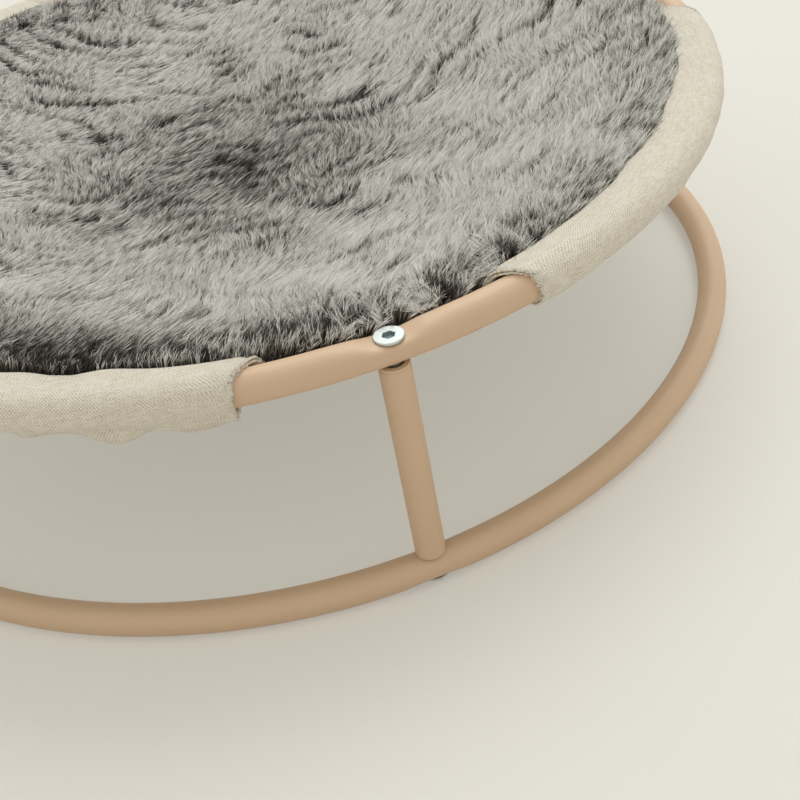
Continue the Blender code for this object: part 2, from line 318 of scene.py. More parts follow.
# The posts
# Four short lengths of the same coated tube stand between the hoops. Their ends are cut
# square, trimmed, which leaves a fine line under the rim, and turned in round the bolt.

post_low, post_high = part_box("post_front")
POST_RADIUS = (post_high.x - post_low.x) / 2
POST_WALL = 0.001
POST_STEPS = 48
LIP_BORE = 0.0034
LIP_DEPTH = 0.0010
TRIM_LENGTH = 0.0013
TRIM_LINE = 0.00012
TRIM_DEPTH = 0.00024
EDGE_ROUND = 0.00018
ROUND_STEPS = 3
HEXAGON = 6


def rounded(profile, radius, closed):
    """A profile with its corners rounded. Each corner becomes the curve that leaves one leg
    and joins the next, the radius away from the corner or at most two fifths of the leg,
    weighted by left squared, twice left times right, and right squared. A point beyond
    each end of the curve keeps the legs flat."""
    before = np.roll(profile, 1, axis=0) - profile
    after = np.roll(profile, -1, axis=0) - profile
    share_in = radius / np.linalg.norm(before, axis=1)[:, None]
    share_out = radius / np.linalg.norm(after, axis=1)[:, None]
    reach_in = before * np.minimum(share_in, 0.4)
    reach_out = after * np.minimum(share_out, 0.4)
    right = np.linspace(0, 1, ROUND_STEPS + 1)[None, :, None]
    left = 1 - right
    curve = profile[:, None] + left**2 * reach_in[:, None] + right**2 * reach_out[:, None]
    first = profile + before * np.minimum(1.5 * share_in, 0.5)
    last = profile + after * np.minimum(1.5 * share_out, 0.5)
    corner = np.concatenate((first[:, None], curve, last[:, None]), axis=1)
    if closed:
        return corner.reshape(-1, profile.shape[1])
    inner = corner[1:-1].reshape(-1, profile.shape[1])
    return np.concatenate((profile[:1], inner, profile[-1:]))


def turned(name, profile, steps, closed):
    """A profile of radius, height and flatness carried round Z. A flatness of 1 makes the
    round a hexagon: the radius over the cosine of the angle to the nearest flat's middle."""
    turn = np.linspace(0, math.tau, steps, endpoint=False)[:, None]
    flat_turn = math.tau / HEXAGON
    from_flat = turn - flat_turn * np.round(turn / flat_turn)
    radius = profile[:, 0] * (1 + profile[:, 2] * (1 / np.cos(from_flat) - 1))
    points = polar(radius, turn, profile[:, 1])
    looped = np.concatenate((profile, profile[:1])) if closed else profile
    legs = np.linalg.norm(np.diff(looped[:, :2], axis=0), axis=1)
    along = np.concatenate(([0], np.cumsum(legs)))
    round_at = np.linspace(0, math.tau * profile[:, 0].max(), steps + 1)
    return sealed(skin(name, points, round_at, along, ring=True, loop=closed))


def moved(mesh, angle, height=0.0, turn_over=False):
    """A copy of a mesh, set on the hoop's circle at an angle, and turned over if asked."""
    copy = mesh.copy()
    flip = Matrix.Rotation(math.pi if turn_over else 0, 4, "X")
    where = (HOOP_RADIUS * math.cos(angle), HOOP_RADIUS * math.sin(angle), height)
    copy.transform(Matrix.Translation(where) @ Matrix.Rotation(angle, 4, "Z") @ flip)
    return copy


def post_profile():
    """Down the outer side from a rim with its trimmed line, and up the bore, which is
    narrower at each end."""
    top, foot = post_high.z, post_low.z
    outer, bore = POST_RADIUS, POST_RADIUS - POST_WALL
    end = [(outer - TRIM_LINE, 0), (outer - TRIM_DEPTH / 2, TRIM_LENGTH - 2 * TRIM_LINE),
           (outer - TRIM_DEPTH, TRIM_LENGTH - TRIM_LINE), (outer, TRIM_LENGTH)]
    down = [(radius, top - drop, 0) for radius, drop in end]
    up = [(radius, foot + drop, 0) for radius, drop in end[::-1]]
    inner = [(LIP_BORE, foot, 0), (LIP_BORE, foot + LIP_DEPTH, 0), (bore, foot + LIP_DEPTH, 0)]
    inner += [(bore, top - LIP_DEPTH, 0), (LIP_BORE, top - LIP_DEPTH, 0), (LIP_BORE, top, 0)]
    return np.array(down + up + inner)


post_mesh = turned("post", rounded(post_profile(), EDGE_ROUND, True), POST_STEPS, True)
for name, angle in zip(POST_NAMES, POST_ANGLES):
    put("post_tube_" + name, moved(post_mesh, angle), SAND_COAT, "powder_coat", "post_" + name)


# The bolts
# Each is a zinc-plated furniture bolt with a wide flat head and a hexagon socket. One goes
# down through the upper hoop into each post, and one up through the lower hoop.

bolt_low, bolt_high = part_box("top_bolt_front")
HEAD_RADIUS = (bolt_high.x - bolt_low.x) / 2
BOLT_LENGTH = bolt_high.z - bolt_low.z
HEAD_HEIGHT = 0.0010
HEAD_BEVEL = 0.00025
HEAD_SUNK = 0.0006
SHANK_RADIUS = 0.0027
SHANK_BEVEL = 0.0006
SOCKET_APOTHEM = 0.002
SOCKET_DEPTH = 0.002
SOCKET_CONE = 0.0004
SOCKET_LIP = 0.00012
THREAD_LENGTH = 0.018
THREAD_TURNS = 12
THREAD_DEPTH = 0.0004
TURNING_MARK = 0.00012083
SOCKET_FADE = 0.0004
ZINC_RELIEF = 0.0000015
BOLT_STEPS = 60
ZINC = (0.57, 0.61, 0.59, 1)
ZINC_DULL = (0.51, 0.55, 0.535, 1)
# Painted shade: a darker zinc for down in the socket.
ZINC_SOCKET_SHADE = (0.42, 0.49, 0.50, 1)


def zinc_plate():
    """Satin zinc: turning marks in rings round the head, a few duller clouds, and painted
    shade down in the socket, which is the first stretch of the profile."""
    material, start = new_finish("zinc_plate", {"Metallic": 1.0})
    place = start.on_object()
    cut = start.on_cut()
    along = cut.axis(1)
    rings = (along * (math.tau / TURNING_MARK)).math("SINE")
    cloud = start.noise(place, 260.0, 4.0)
    # Painted shade: the zinc darkens down in the socket and fades out just below its lip.
    out_of_socket_shade = ((along - SOCKET_DEPTH - SOCKET_APOTHEM) / SOCKET_FADE + 1.0).limited()
    feed(material, {
        "Base Color": out_of_socket_shade.blend(ZINC_SOCKET_SHADE, cloud.blend(ZINC, ZINC_DULL)),
        "Roughness": cloud * 0.12 + 0.30,
        "Normal": (rings * 0.3 + cloud).relief(ZINC_RELIEF),
    })
    return material


def bolt_profile():
    """From the socket's middle, up its wall, over the head and down the shank to its tip."""
    floor = HEAD_HEIGHT - SOCKET_DEPTH
    tip = HEAD_HEIGHT - BOLT_LENGTH
    thread = []
    for drop in np.linspace(THREAD_LENGTH, SHANK_BEVEL, THREAD_TURNS):
        thread.append((SHANK_RADIUS, tip + drop, 0))
        thread.append((SHANK_RADIUS - THREAD_DEPTH, tip + drop - SHANK_BEVEL / 2, 0))
    return np.array([
        (0, floor - SOCKET_CONE, 1),
        (SOCKET_APOTHEM, floor, 1),
        (SOCKET_APOTHEM, HEAD_HEIGHT - SOCKET_LIP, 1),
        (SOCKET_APOTHEM + SOCKET_LIP, HEAD_HEIGHT, 1),
        (HEAD_RADIUS - HEAD_BEVEL, HEAD_HEIGHT, 0),
        (HEAD_RADIUS, HEAD_HEIGHT - HEAD_BEVEL, 0),
        (HEAD_RADIUS, 0, 0),
        (SHANK_RADIUS, 0, 0),
        *thread,
        (SHANK_RADIUS - SHANK_BEVEL, tip, 0),
        (0, tip, 0),
    ])


ZINC_PLATE = zinc_plate()
bolt_mesh = turned("bolt", rounded(bolt_profile(), EDGE_ROUND, False), BOLT_STEPS, False)
head_seat = bolt_high.z - HEAD_SUNK - HEAD_HEIGHT
foot_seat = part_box("bottom_bolt_front")[0].z + HEAD_SUNK + HEAD_HEIGHT
for name, angle in zip(POST_NAMES, POST_ANGLES):
    top = moved(bolt_mesh, angle, head_seat)
    put("bolt_upper_" + name, top, ZINC_PLATE, "zinc_plate", "top_bolt_" + name)
    lower = moved(bolt_mesh, angle, foot_seat, turn_over=True)
    put("bolt_lower_" + name, lower, ZINC_PLATE, "zinc_plate", "bottom_bolt_" + name)


# The threaded inserts
# A blackened steel insert is pressed into each end of a post, for the bolt to screw into.
# It shows only as dark metal in the gap between the post and the round hoop.

OXIDE_RELIEF = 0.00002
BLACK_STEEL = (0.035, 0.036, 0.038, 1)
BLACK_STEEL_WORN = (0.16, 0.155, 0.15, 1)


def blackened_steel():
    """Oiled black oxide that is worn to grey in small spots."""
    material, start = new_finish("blackened_steel", {"Metallic": 1.0})
    place = start.on_object()
    cloud = start.noise(place, 700.0, 4.0)
    worn = ((cloud - 0.55) * 6.0).limited()
    feed(material, {
        "Base Color": worn.blend(BLACK_STEEL, BLACK_STEEL_WORN),
        "Roughness": 0.5 - cloud * 0.25,
        "Normal": cloud.relief(OXIDE_RELIEF),
    })
    return material


BLACK_OXIDE = blackened_steel()
for name in POST_NAMES:
    for end in ("top_insert_", "bottom_insert_"):
        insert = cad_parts[end + name]
        insert.data.materials.clear()
        insert.data.materials.append(BLACK_OXIDE)


# The lining under the sling
# A disc of the same linen as the sleeves, gathered a little on to the rim, where it turns
# up. It hangs in a shallow dish and carries the wadding and the plush.

lining_low, lining_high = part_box("sling_underside")
RIM_INSET_AT_POST = HOOP_RADIUS - lining_high.x
RIM_INSET_AT_SLEEVE = 0.012
RIM_TOP = lining_high.z - UPPER_HEIGHT
RIM_TOP_WHEN_BARE = -0.0012
RIM_TURN_SHARE = 0.985
RIM_TURN_RISE = 0.003
SAG = 0.038
LINING = 0.0008
BARE_LENGTH = 0.100
HALF_BARE = BARE_LENGTH / HOOP_RADIUS / 2
RIM_EASE = 0.016
RIM_EASE_START = 0.003
DISH_ROUND = 288
DISH_STEPS = 46
TURN_STEPS = 5
RIM_STEPS = 4
GATHERS = 44
GATHER_DEPTH = 0.0011
GATHER_SHARES = (0.42, 0.84)
GATHER_WANDER = 0.9
THREAD_PITCH = 0.00058
WEAVE_RELIEF = 0.00014
LINEN_SHADE = (0.48, 0.41, 0.30, 1)
LINEN_CREAM = (0.91, 0.88, 0.79, 1)
LINEN_PLAIN = (0.78, 0.735, 0.62, 1)
LINEN_BEIGE = (0.56, 0.48, 0.35, 1)


def waves(x, y, length, seed, count=7):
    """A smooth irregular field from about -1 to 1: the mean of sines that run every way,
    their wave lengths near the one given."""
    draw = np.random.default_rng(seed)
    aims = draw.uniform(0, math.tau, count)
    pitches = math.tau / length * draw.uniform(0.6, 1.5, count)
    shifts = draw.uniform(0, math.tau, count)
    total = 0
    for aim, pitch, shift in zip(aims, pitches, shifts):
        total = total + np.sin(pitch * (x * math.cos(aim) + y * math.sin(aim)) + shift)
    return total * math.sqrt(2 / count) / 1.6


def from_nearest_post(angle):
    """The angle to the nearest post, unsigned."""
    return np.abs(angle - QUARTER * np.round(angle / QUARTER))


def rim_radius(angle):
    """The sling's edge: near the hoop at a post, drawn in by (1 - cos) along a sleeve."""
    draw = (1 - np.cos(POST_COUNT * angle)) / 2
    return HOOP_RADIUS - RIM_INSET_AT_POST - (RIM_INSET_AT_SLEEVE - RIM_INSET_AT_POST) * draw


def sling_height(share):
    """The lining's under side: its lowest point plus the sag times share of rim squared."""
    return lining_low.z + SAG * share**2


def sleeved(angle):
    """One where a sleeve covers the hoop, and nothing along the bare hoop."""
    from_end = HOOP_RADIUS * (from_nearest_post(angle) - HALF_BARE)
    return ease((from_end + RIM_EASE_START) / RIM_EASE)


def rim_top(angle):
    """The turned-up rim's height: up to the sleeve's seam, and lower by the bare hoop."""
    return UPPER_HEIGHT + RIM_TOP_WHEN_BARE + (RIM_TOP - RIM_TOP_WHEN_BARE) * sleeved(angle)


def lining_points():
    """Round the bed by out from the middle: a parabola, a quarter turn, then the rim."""
    angle = np.linspace(0, math.tau, DISH_ROUND, endpoint=False)[:, None]
    dish = np.linspace(0, RIM_TURN_SHARE, DISH_STEPS)[None, :]
    gather_from, gather_to = GATHER_SHARES
    across = np.clip((dish - gather_from) / (gather_to - gather_from), 0, 1)
    fold = (1 - np.cos(GATHERS * angle + waves(angle, 0, GATHER_WANDER, 5))) / 2
    depth = GATHER_DEPTH * fold * np.sin(math.pi * across) ** 2
    low = sling_height(dish) + LINING / 2 - depth
    corner = np.linspace(0, math.pi / 2, TURN_STEPS + 1)[None, 1:]
    turn_share = RIM_TURN_SHARE + (1 - RIM_TURN_SHARE) * np.sin(corner)
    turn_up = sling_height(turn_share) + LINING / 2 + RIM_TURN_RISE * (1 - np.cos(corner))
    climb = np.linspace(0, 1, RIM_STEPS + 1)[None, 1:]
    rim_up = turn_up[:, -1:] + (rim_top(angle) - turn_up[:, -1:]) * climb
    share = np.concatenate((dish, turn_share, np.ones((1, RIM_STEPS))), axis=1)
    wide = np.ones_like(angle)
    height = np.concatenate((low, turn_up * wide, rim_up), axis=1)
    return polar(share * rim_radius(angle) - LINING / 2 * share, angle, height)


def linen():
    """Plain weave from the flat cut: pale warp and darker weft cross over and under in turn.
    Each thread has its own shade and swells in slubs, and the gaps are darker still."""
    material, start = new_finish("natural_linen", {"Sheen Weight": 0.12, "Sheen Roughness": 0.6})
    cut = start.on_cut()
    wander = start.noise(cut, 160.0, 2.0) * 1.1
    warp_at = cut.axis(0) / THREAD_PITCH + wander
    weft_at = cut.axis(1) / THREAD_PITCH - wander
    warp_round = 1.0 - (warp_at.math("FRACT") * 2.0 - 1.0) ** 2.0
    weft_round = 1.0 - (weft_at.math("FRACT") * 2.0 - 1.0) ** 2.0
    over = (warp_at.math("FLOOR") + weft_at.math("FLOOR")).math("FLOORED_MODULO", 2.0)
    along_warp = warp_at.node("CombineXYZ", {}, {0: warp_at.math("FLOOR"), 1: weft_at * 0.06})
    along_weft = weft_at.node("CombineXYZ", {}, {0: weft_at.math("FLOOR"), 1: warp_at * 0.06})
    warp_slub = start.noise(along_warp, 1.7, 2.0)
    weft_slub = start.noise(along_weft, 2.3, 2.0)
    height = over * warp_round * (0.55 + weft_round * 0.45)
    height = height + (1.0 - over) * weft_round * (0.55 + warp_round * 0.45)
    slub = over * warp_slub + (1.0 - over) * weft_slub
    pale = ((warp_slub - 0.5) * 3.2 + 0.62).limited()
    dark = ((weft_slub - 0.5) * 3.6 + 0.40).limited()
    thread = over.blend(dark.blend(LINEN_PLAIN, LINEN_BEIGE), pale.blend(LINEN_PLAIN, LINEN_CREAM))
    deep = (height * 0.60 + 0.55).math("MINIMUM", 1.0)
    feed(material, {
        "Base Color": deep.blend(LINEN_SHADE, thread),
        "Roughness": 0.95 - slub * 0.15,
        "Normal": (height + slub * 0.9).relief(WEAVE_RELIEF),
    })
    return material


def thicken(made, thickness):
    """Gives a sheet its thickness, half on each side."""
    cloth = made.modifiers.new("cloth", "SOLIDIFY")
    cloth.thickness = thickness
    cloth.offset = 0


LINEN = linen()
out_at = np.linspace(0, HOOP_RADIUS, DISH_STEPS + TURN_STEPS + RIM_STEPS)
round_at = np.linspace(0, math.tau * HOOP_RADIUS / 2, DISH_ROUND + 1)
mesh = sealed(skin("lining", lining_points(), round_at, out_at, ring=True))
lining = put("lining", mesh, LINEN, "linen", "sling_underside")
thicken(lining, LINING)
LINING_DISC = 2 * (HOOP_RADIUS + RIM_TURN_RISE)
math.pi * LINING_DISC**2 / 4


# The wadding
# A layer of white polyester wadding lies in the lining, under the plush.

FIT = 0.0003
WADDING = 0.005
WADDING_EDGE_SHARE = 0.988
WADDING_STEPS = 26
SHELL_EDGE_STEPS = 9
FIBRE_RELIEF = 0.0006
WHITE_FIBRE = (0.82, 0.82, 0.80, 1)
GREY_FIBRE = (0.60, 0.60, 0.58, 1)


def dish_shell(name, low, high, edge_share, steps):
    """A closed layer on the sling's parabola: out along its top, round the edge in half a
    turn, and back along its under side. low and high are its lifts over the lining."""
    angle = np.linspace(0, math.tau, DISH_ROUND // 2, endpoint=False)[:, None]
    middle = (low + high) / 2
    half = (high - low) / 2
    top = np.linspace(0, edge_share, steps)
    edge = np.linspace(math.pi / 2, -math.pi / 2, SHELL_EDGE_STEPS)[1:-1]
    bulge = np.cos(edge) * half / HOOP_RADIUS
    share = np.concatenate((top, edge_share + bulge, top[::-1]))
    lift = np.concatenate((np.full(steps, high), middle + half * np.sin(edge), np.full(steps, low)))
    points = polar(share * rim_radius(angle), angle, sling_height(share) + lift)
    legs = np.hypot(np.diff(share) * HOOP_RADIUS, np.diff(lift))
    down_at = np.concatenate(([0], np.cumsum(legs)))
    across_at = np.linspace(0, math.pi * HOOP_RADIUS, DISH_ROUND // 2 + 1)
    return sealed(skin(name, points, across_at, down_at, ring=True))


def wadding_fibre():
    """Felted white fibre: stretched clouds laid over one another."""
    material, start = new_finish("polyester_wadding", {"Roughness": 1.0})
    place = start.on_object()
    clump = start.noise(place, 120.0, 6.0)
    fibre = start.noise(place, 1400.0, 3.0)
    feed(material, {
        "Base Color": (clump * 0.7 + fibre * 0.3).blend(GREY_FIBRE, WHITE_FIBRE),
        "Normal": (clump + fibre * 0.5).relief(FIBRE_RELIEF),
    })
    return material


wadding_low = LINING + FIT
mesh = dish_shell("wadding_pad", wadding_low, wadding_low + WADDING, WADDING_EDGE_SHARE, WADDING_STEPS)
pad = put("wadding_pad", mesh, wadding_fibre(), "wadding", "wadding")


# The plush
# Knitted backing carries a long crimped pile with dark brown roots and pale frosted tips.
# The pile is combed into wavy ridges and tufts. Its strands are laid in eight wedges.

BACKING = 0.0008
BACKING_EDGE_SHARE = 0.994
BACKING_STEPS = 40
STITCH_PITCH = 0.0013
KNIT_RELIEF = 0.0003
WEDGES = 8
STRANDS_IN_WEDGE = 57500
PILE_LENGTH = 0.0134
PILE_LENGTH_AT_SLEEVE = 0.0094
PILE_LENGTH_AT_HOOP = 0.0086
PILE_LENGTH_SPREAD_SHARE = 0.09
RIM_BAND = 0.012
STRAND_ROOT_WIDTH = 0.00018
STRAND_MIDDLE_WIDTH = 0.00038
STRAND_BEND_SHARE = 0.54
MOST_LEAN_SHARE = 0.85
KNEE_OUT_POWER = 2.4
KNEE_UP_POWER = 0.42
TUFT_PITCH = 0.0044
TUFT_PULL = 0.26
WISP_PITCH = 0.0014
WISP_PULL = 0.70
WISP_LEAN = 0.0021
WISP_CLUMP = 0.0030
STAR_PITCH = 0.0135
STAR_SPREAD = 1.10
STAR_EYE = 0.0042
STAR_REACH = 0.038
STAR_WIDTH = 0.055
STAR_TURN = 0.12
LOOSE_TIP = 0.0008
NAP = 0.0080
NAP_MIDDLE = (0.07, 0.30)
RIDGE_LENGTH = 0.026
RIDGE_LEAN = 0.0030
RIDGE_WANDER = 0.075
RIDGE_FADE = 0.060
NAP_FADE = 0.070
CREASE_LENGTH = 0.0105
CREASE_WARP = 0.30
CREASE_PATCH = 0.040
RIPPLE_LENGTH = 0.0037
RIPPLE_WARP = 0.40
RIPPLE_PATCH = 0.007
PARTING_PULL = 0.58
PARTING_SINK_SHARE = 0.22
SPILL_AT_SLEEVE = 0.0034
SPILL_AT_HOOP = 0.0046
# Painted light: strands right at the rim are tinted paler, against the shade beside the sleeves and the
# hoop.
PAINTED_LIGHT_AT_RIM = 0.16
# Painted light and shade by distance in from the rim: strands a little darker at the rim, much paler some
# 3 to 10 cm in, and darker towards the middle.
PAINTED_LIGHT_AND_SHADE_IN_FROM_RIM = ((0, -0.20), (0.014, 0.20), (0.030, 1.15), (0.060, 1.60), (0.095, 1.1), (0.200, -1.30))
# Painted shade: a darker patch of strands near the front left of the dish.
PAINTED_SHADE_PATCH_AT = (-0.115, -0.150)
PAINTED_SHADE_PATCH_WIDTH = 0.060
PAINTED_SHADE_IN_PATCH = -1.70
CLOUD_LENGTH = 0.050
TINT = 0.66
TINT_SPREAD = 0.15
TINT_OF_CLUMP = 0.26
TINT_OF_LIGHT_AND_TONE = 0.25
# Painted shade: strands in partings and in the eyes of stars are tinted darker.
PAINTED_SHADE_IN_PARTINGS = -0.95
KNIT_BROWN = (0.060, 0.047, 0.040, 1)
KNIT_DARK = (0.022, 0.017, 0.014, 1)


def crossed(cut, pitch):
    """From 0 to 1: half the sine down the cut times the sine across it, and a half more."""
    down = (cut.axis(0) * (math.tau / pitch)).math("SINE")
    across = (cut.axis(1) * (math.tau / pitch)).math("SINE")
    return down * across * 0.5 + 0.5


def knitted_backing():
    """Dark knitted ground: rows of loops from two crossed waves."""
    material, start = new_finish("knitted_backing", {"Roughness": 1.0})
    loops = crossed(start.on_cut(), STITCH_PITCH)
    feed(material, {"Base Color": loops.blend(KNIT_DARK, KNIT_BROWN), "Normal": loops.relief(KNIT_RELIEF)})
    return material


def frosted_fibre():
    """A strand's colour from root to tip, by its place along and its own tint. The map's
    first axis is the tint, which moves the frosted part up or down the strand. The tint
    also carries painted light and shade."""
    constants = {"Roughness": 0.75, "Sheen Weight": 0.45, "Sheen Roughness": 0.4}
    material, start = new_finish("frosted_pile", constants)
    strand = start.node("UVMap", {"uv_map": "strand"}, {})
    tint = strand.axis(0)
    along = strand.axis(1)
    stops = (
        (0.00, (0.028, 0.020, 0.016, 1)),
        (0.36, (0.060, 0.046, 0.038, 1)),
        (0.55, (0.150, 0.127, 0.109, 1)),
        (0.68, (0.480, 0.460, 0.417, 1)),
        (0.82, (0.945, 0.945, 0.915, 1)),
    )
    shifted = along + tint - 0.5
    colour = shifted.node("ValToRGB", {"stops": stops}, {0: shifted})
    feed(material, {"Base Color": colour})
    return material


def tuft_middles(x, y, pitch, seed):
    """The nearest of the points that are scattered one to each square cell of the pitch."""
    table = np.random.default_rng(seed).uniform(0, 1, (256, 256, 2))
    column = np.floor(x / pitch).astype(int)
    row = np.floor(y / pitch).astype(int)
    best = np.full(x.shape, np.inf)
    middle = np.zeros((len(x), 2))
    for side in (-1, 0, 1):
        for ahead in (-1, 0, 1):
            jitter = table[(column + side) % 256, (row + ahead) % 256]
            spot = (np.stack((column + side, row + ahead), axis=1) + jitter) * pitch
            gap = (spot[:, 0] - x) ** 2 + (spot[:, 1] - y) ** 2
            nearer = gap < best
            best = np.where(nearer, gap, best)
            middle = np.where(nearer[:, None], spot, middle)
    return middle


def creases(x, y, length, warp, patch, seed):
    """Creases that run round the nap's middle, the length apart, bent by the warp and strong
    in patches. Each place has a push to its nearest crest, and a share of parting that is
    1 midway between two crests."""
    turn = np.hypot(x - NAP_MIDDLE[0], y - NAP_MIDDLE[1]) / length
    turn = turn + warp * waves(x, y, 4 * length, seed) + waves(x, y, 9 * length, seed + 1)
    strength = (0.7 + 0.8 * waves(x, y, patch, seed + 2)).clip(0, 1)
    to_crest = np.round(turn) - turn
    return PARTING_PULL * length * to_crest * strength, ease(4 * np.abs(to_crest) - 1) * strength


def combed(x, y):
    """How far the pile leans in plan, and its share of parting. Broad ridges lean it from
    and to the nap's middle by the sine of a phase, a nap lays it round that, and creases
    part it."""
    off = np.stack((x, y), axis=1) - np.array(NAP_MIDDLE)
    radius = np.linalg.norm(off, axis=1)
    out = off / np.maximum(radius, PILE_LENGTH)[:, None]
    side = np.stack((-out[:, 1], out[:, 0]), axis=1)
    ridge_turn = radius / RIDGE_LENGTH + 0.42 * waves(x, y, RIDGE_WANDER, 11)
    ridge = np.sin(math.tau * ridge_turn) * (0.55 + 0.45 * waves(x, y, RIDGE_FADE, 13))
    long_push, long_parting = creases(x, y, CREASE_LENGTH, CREASE_WARP, CREASE_PATCH, 41)
    short_push, short_parting = creases(x, y, RIPPLE_LENGTH, RIPPLE_WARP, RIPPLE_PATCH, 51)
    outward = RIDGE_LEAN * ridge + long_push + short_push
    sideways = NAP * (0.70 + 0.5 * waves(x, y, NAP_FADE, 16))
    lean = out * outward[:, None] + side * sideways[:, None]
    return lean, np.maximum(long_parting, 0.9 * short_parting)


def bent_strands(draw, root, lean, length, out, slope, straight):
    """Five points a strand, in two stretches. The tip is the root plus the lean along the
    cloth, at what height over it the length leaves. The knee is a share of both up the
    strand, less of the lean than of the height, and more alike the straighter it is."""
    flat_lean = np.linalg.norm(lean, axis=1)
    kept_lean = np.minimum(flat_lean, MOST_LEAN_SHARE * length)
    lean = lean * (kept_lean / np.maximum(flat_lean, SAME_POINT))[:, None]
    outward = (lean * out).sum(axis=1)
    rise = np.sqrt(length**2 - kept_lean**2)
    normal = np.column_stack((-slope[:, None] * out, np.ones(len(root))))
    normal = normal / np.linalg.norm(normal, axis=1)[:, None]
    along_cloth = np.column_stack((lean, slope * outward))
    loose = np.column_stack((draw.normal(0, LOOSE_TIP, (len(root), 2)), np.zeros(len(root))))
    tip = root + along_cloth + normal * rise[:, None] + loose
    bend = STRAND_BEND_SHARE
    knee_out = along_cloth * (bend ** (KNEE_OUT_POWER - 1.4 * straight))[:, None]
    knee = root + knee_out + normal * (rise * bend ** (KNEE_UP_POWER + 0.5 * straight))[:, None]
    facing = draw.uniform(0, math.tau, len(root))
    width = np.column_stack((np.cos(facing), np.sin(facing), np.zeros(len(root))))
    across = np.cross(tip - root, width)
    across = across / np.linalg.norm(across, axis=1)[:, None]
    low = across * STRAND_ROOT_WIDTH / 2
    wide = across * STRAND_MIDDLE_WIDTH / 2
    return np.stack((root - low, root + low, knee - wide, knee + wide, tip), axis=1)


def pile_wedge(wedge):
    """The strands' points and tints. Roots are even over the dish. A strand leans as the
    pile is combed, drawn to its wisp's and tuft's middle. Near a post it leans away from
    the eye of a star instead, and at the rim it spills outward."""
    draw = np.random.default_rng(100 + wedge)
    count = STRANDS_IN_WEDGE
    angle = math.tau * (wedge + draw.uniform(0, 1, count)) / WEDGES
    share = np.sqrt(draw.uniform(0, 1, count)) * BACKING_EDGE_SHARE
    rim = rim_radius(angle)
    x = share * rim * np.cos(angle)
    y = share * rim * np.sin(angle)
    lift = LINING + FIT + WADDING + FIT + BACKING
    root = np.stack((x, y, sling_height(share) + lift), axis=1)
    flat_root = root[:, :2]
    inside = (1 - share) * rim
    at_rim = 1 - ease(inside / RIM_BAND)
    from_post = HOOP_RADIUS * from_nearest_post(angle - STAR_TURN)
    starred = (1 - ease(inside / STAR_REACH)) * (1 - ease(from_post / STAR_WIDTH - 0.4))
    star = flat_root - tuft_middles(x, y, STAR_PITCH, 22)
    eye = 1 - ease(np.linalg.norm(star, axis=1) / STAR_EYE)
    wisp = tuft_middles(x, y, WISP_PITCH, 23)
    lean, parting = combed(wisp[:, 0], wisp[:, 1])
    parting = parting * (1 - starred) + eye * starred
    bare = 1 - sleeved(angle)
    at_edge = PILE_LENGTH_AT_SLEEVE + (PILE_LENGTH_AT_HOOP - PILE_LENGTH_AT_SLEEVE) * bare
    length = PILE_LENGTH + (at_edge - PILE_LENGTH) * at_rim
    length = length * (1 + PILE_LENGTH_SPREAD_SHARE * draw.normal(0, 1, count).clip(-2, 2))
    length = length * (1 - PARTING_SINK_SHARE * parting)
    lean = lean * (1 - 0.8 * starred)[:, None] + STAR_SPREAD * star * starred[:, None]
    own = [waves(wisp[:, 0], wisp[:, 1], WISP_CLUMP, seed) for seed in (24, 25, 26)]
    lean = lean + WISP_LEAN * np.stack(own[:2], axis=1)
    lean = lean + TUFT_PULL * (tuft_middles(x, y, TUFT_PITCH, 21) - flat_root)
    lean = lean + WISP_PULL * (wisp - flat_root)
    out = np.stack((np.cos(angle), np.sin(angle)), axis=1)
    spill = SPILL_AT_SLEEVE + (SPILL_AT_HOOP - SPILL_AT_SLEEVE) * bare
    spill = spill * at_rim**1.5 * draw.uniform(0.8, 1.1, count)
    lean = lean * (1 - 0.7 * at_rim * (1 - starred))[:, None] + out * spill[:, None]
    slope = 2 * SAG * share / rim
    straight = at_rim * (0.4 + 0.6 * bare)
    points = bent_strands(draw, root, lean, length, out, slope, straight)
    # Painted light and shade: the pale band in from the rim, the darker middle and the darker patch. The
    # clouds added after them are random tone.
    from_shade_patch = np.linalg.norm(flat_root - PAINTED_SHADE_PATCH_AT, axis=1) / PAINTED_SHADE_PATCH_WIDTH
    pale = np.interp(inside, *zip(*PAINTED_LIGHT_AND_SHADE_IN_FROM_RIM)) + PAINTED_SHADE_IN_PATCH * np.exp(-(from_shade_patch**2))
    pale = pale + 0.25 * waves(x, y, CLOUD_LENGTH, 18)
    tint = TINT + (TINT_SPREAD + 0.05 * starred) * draw.normal(0, 1, count)
    # Painted shade darkens the strands in partings and star eyes.
    tint = tint + TINT_OF_CLUMP * own[2] + TINT_OF_LIGHT_AND_TONE * pale + PAINTED_SHADE_IN_PARTINGS * parting
    # Painted light: paler strands right at the rim.
    tint = tint + 0.04 * starred + PAINTED_LIGHT_AT_RIM * at_rim**2
    return points, tint.clip(0.03, 0.97)


STRAND_FACES = np.array([(0, 1, 3), (0, 3, 2), (2, 3, 4)])
STRAND_SIDE = np.array([-0.02, 0.02, -0.02, 0.02, 0])
STRAND_ALONG = np.array([0, 0, STRAND_BEND_SHARE, STRAND_BEND_SHARE, 1])

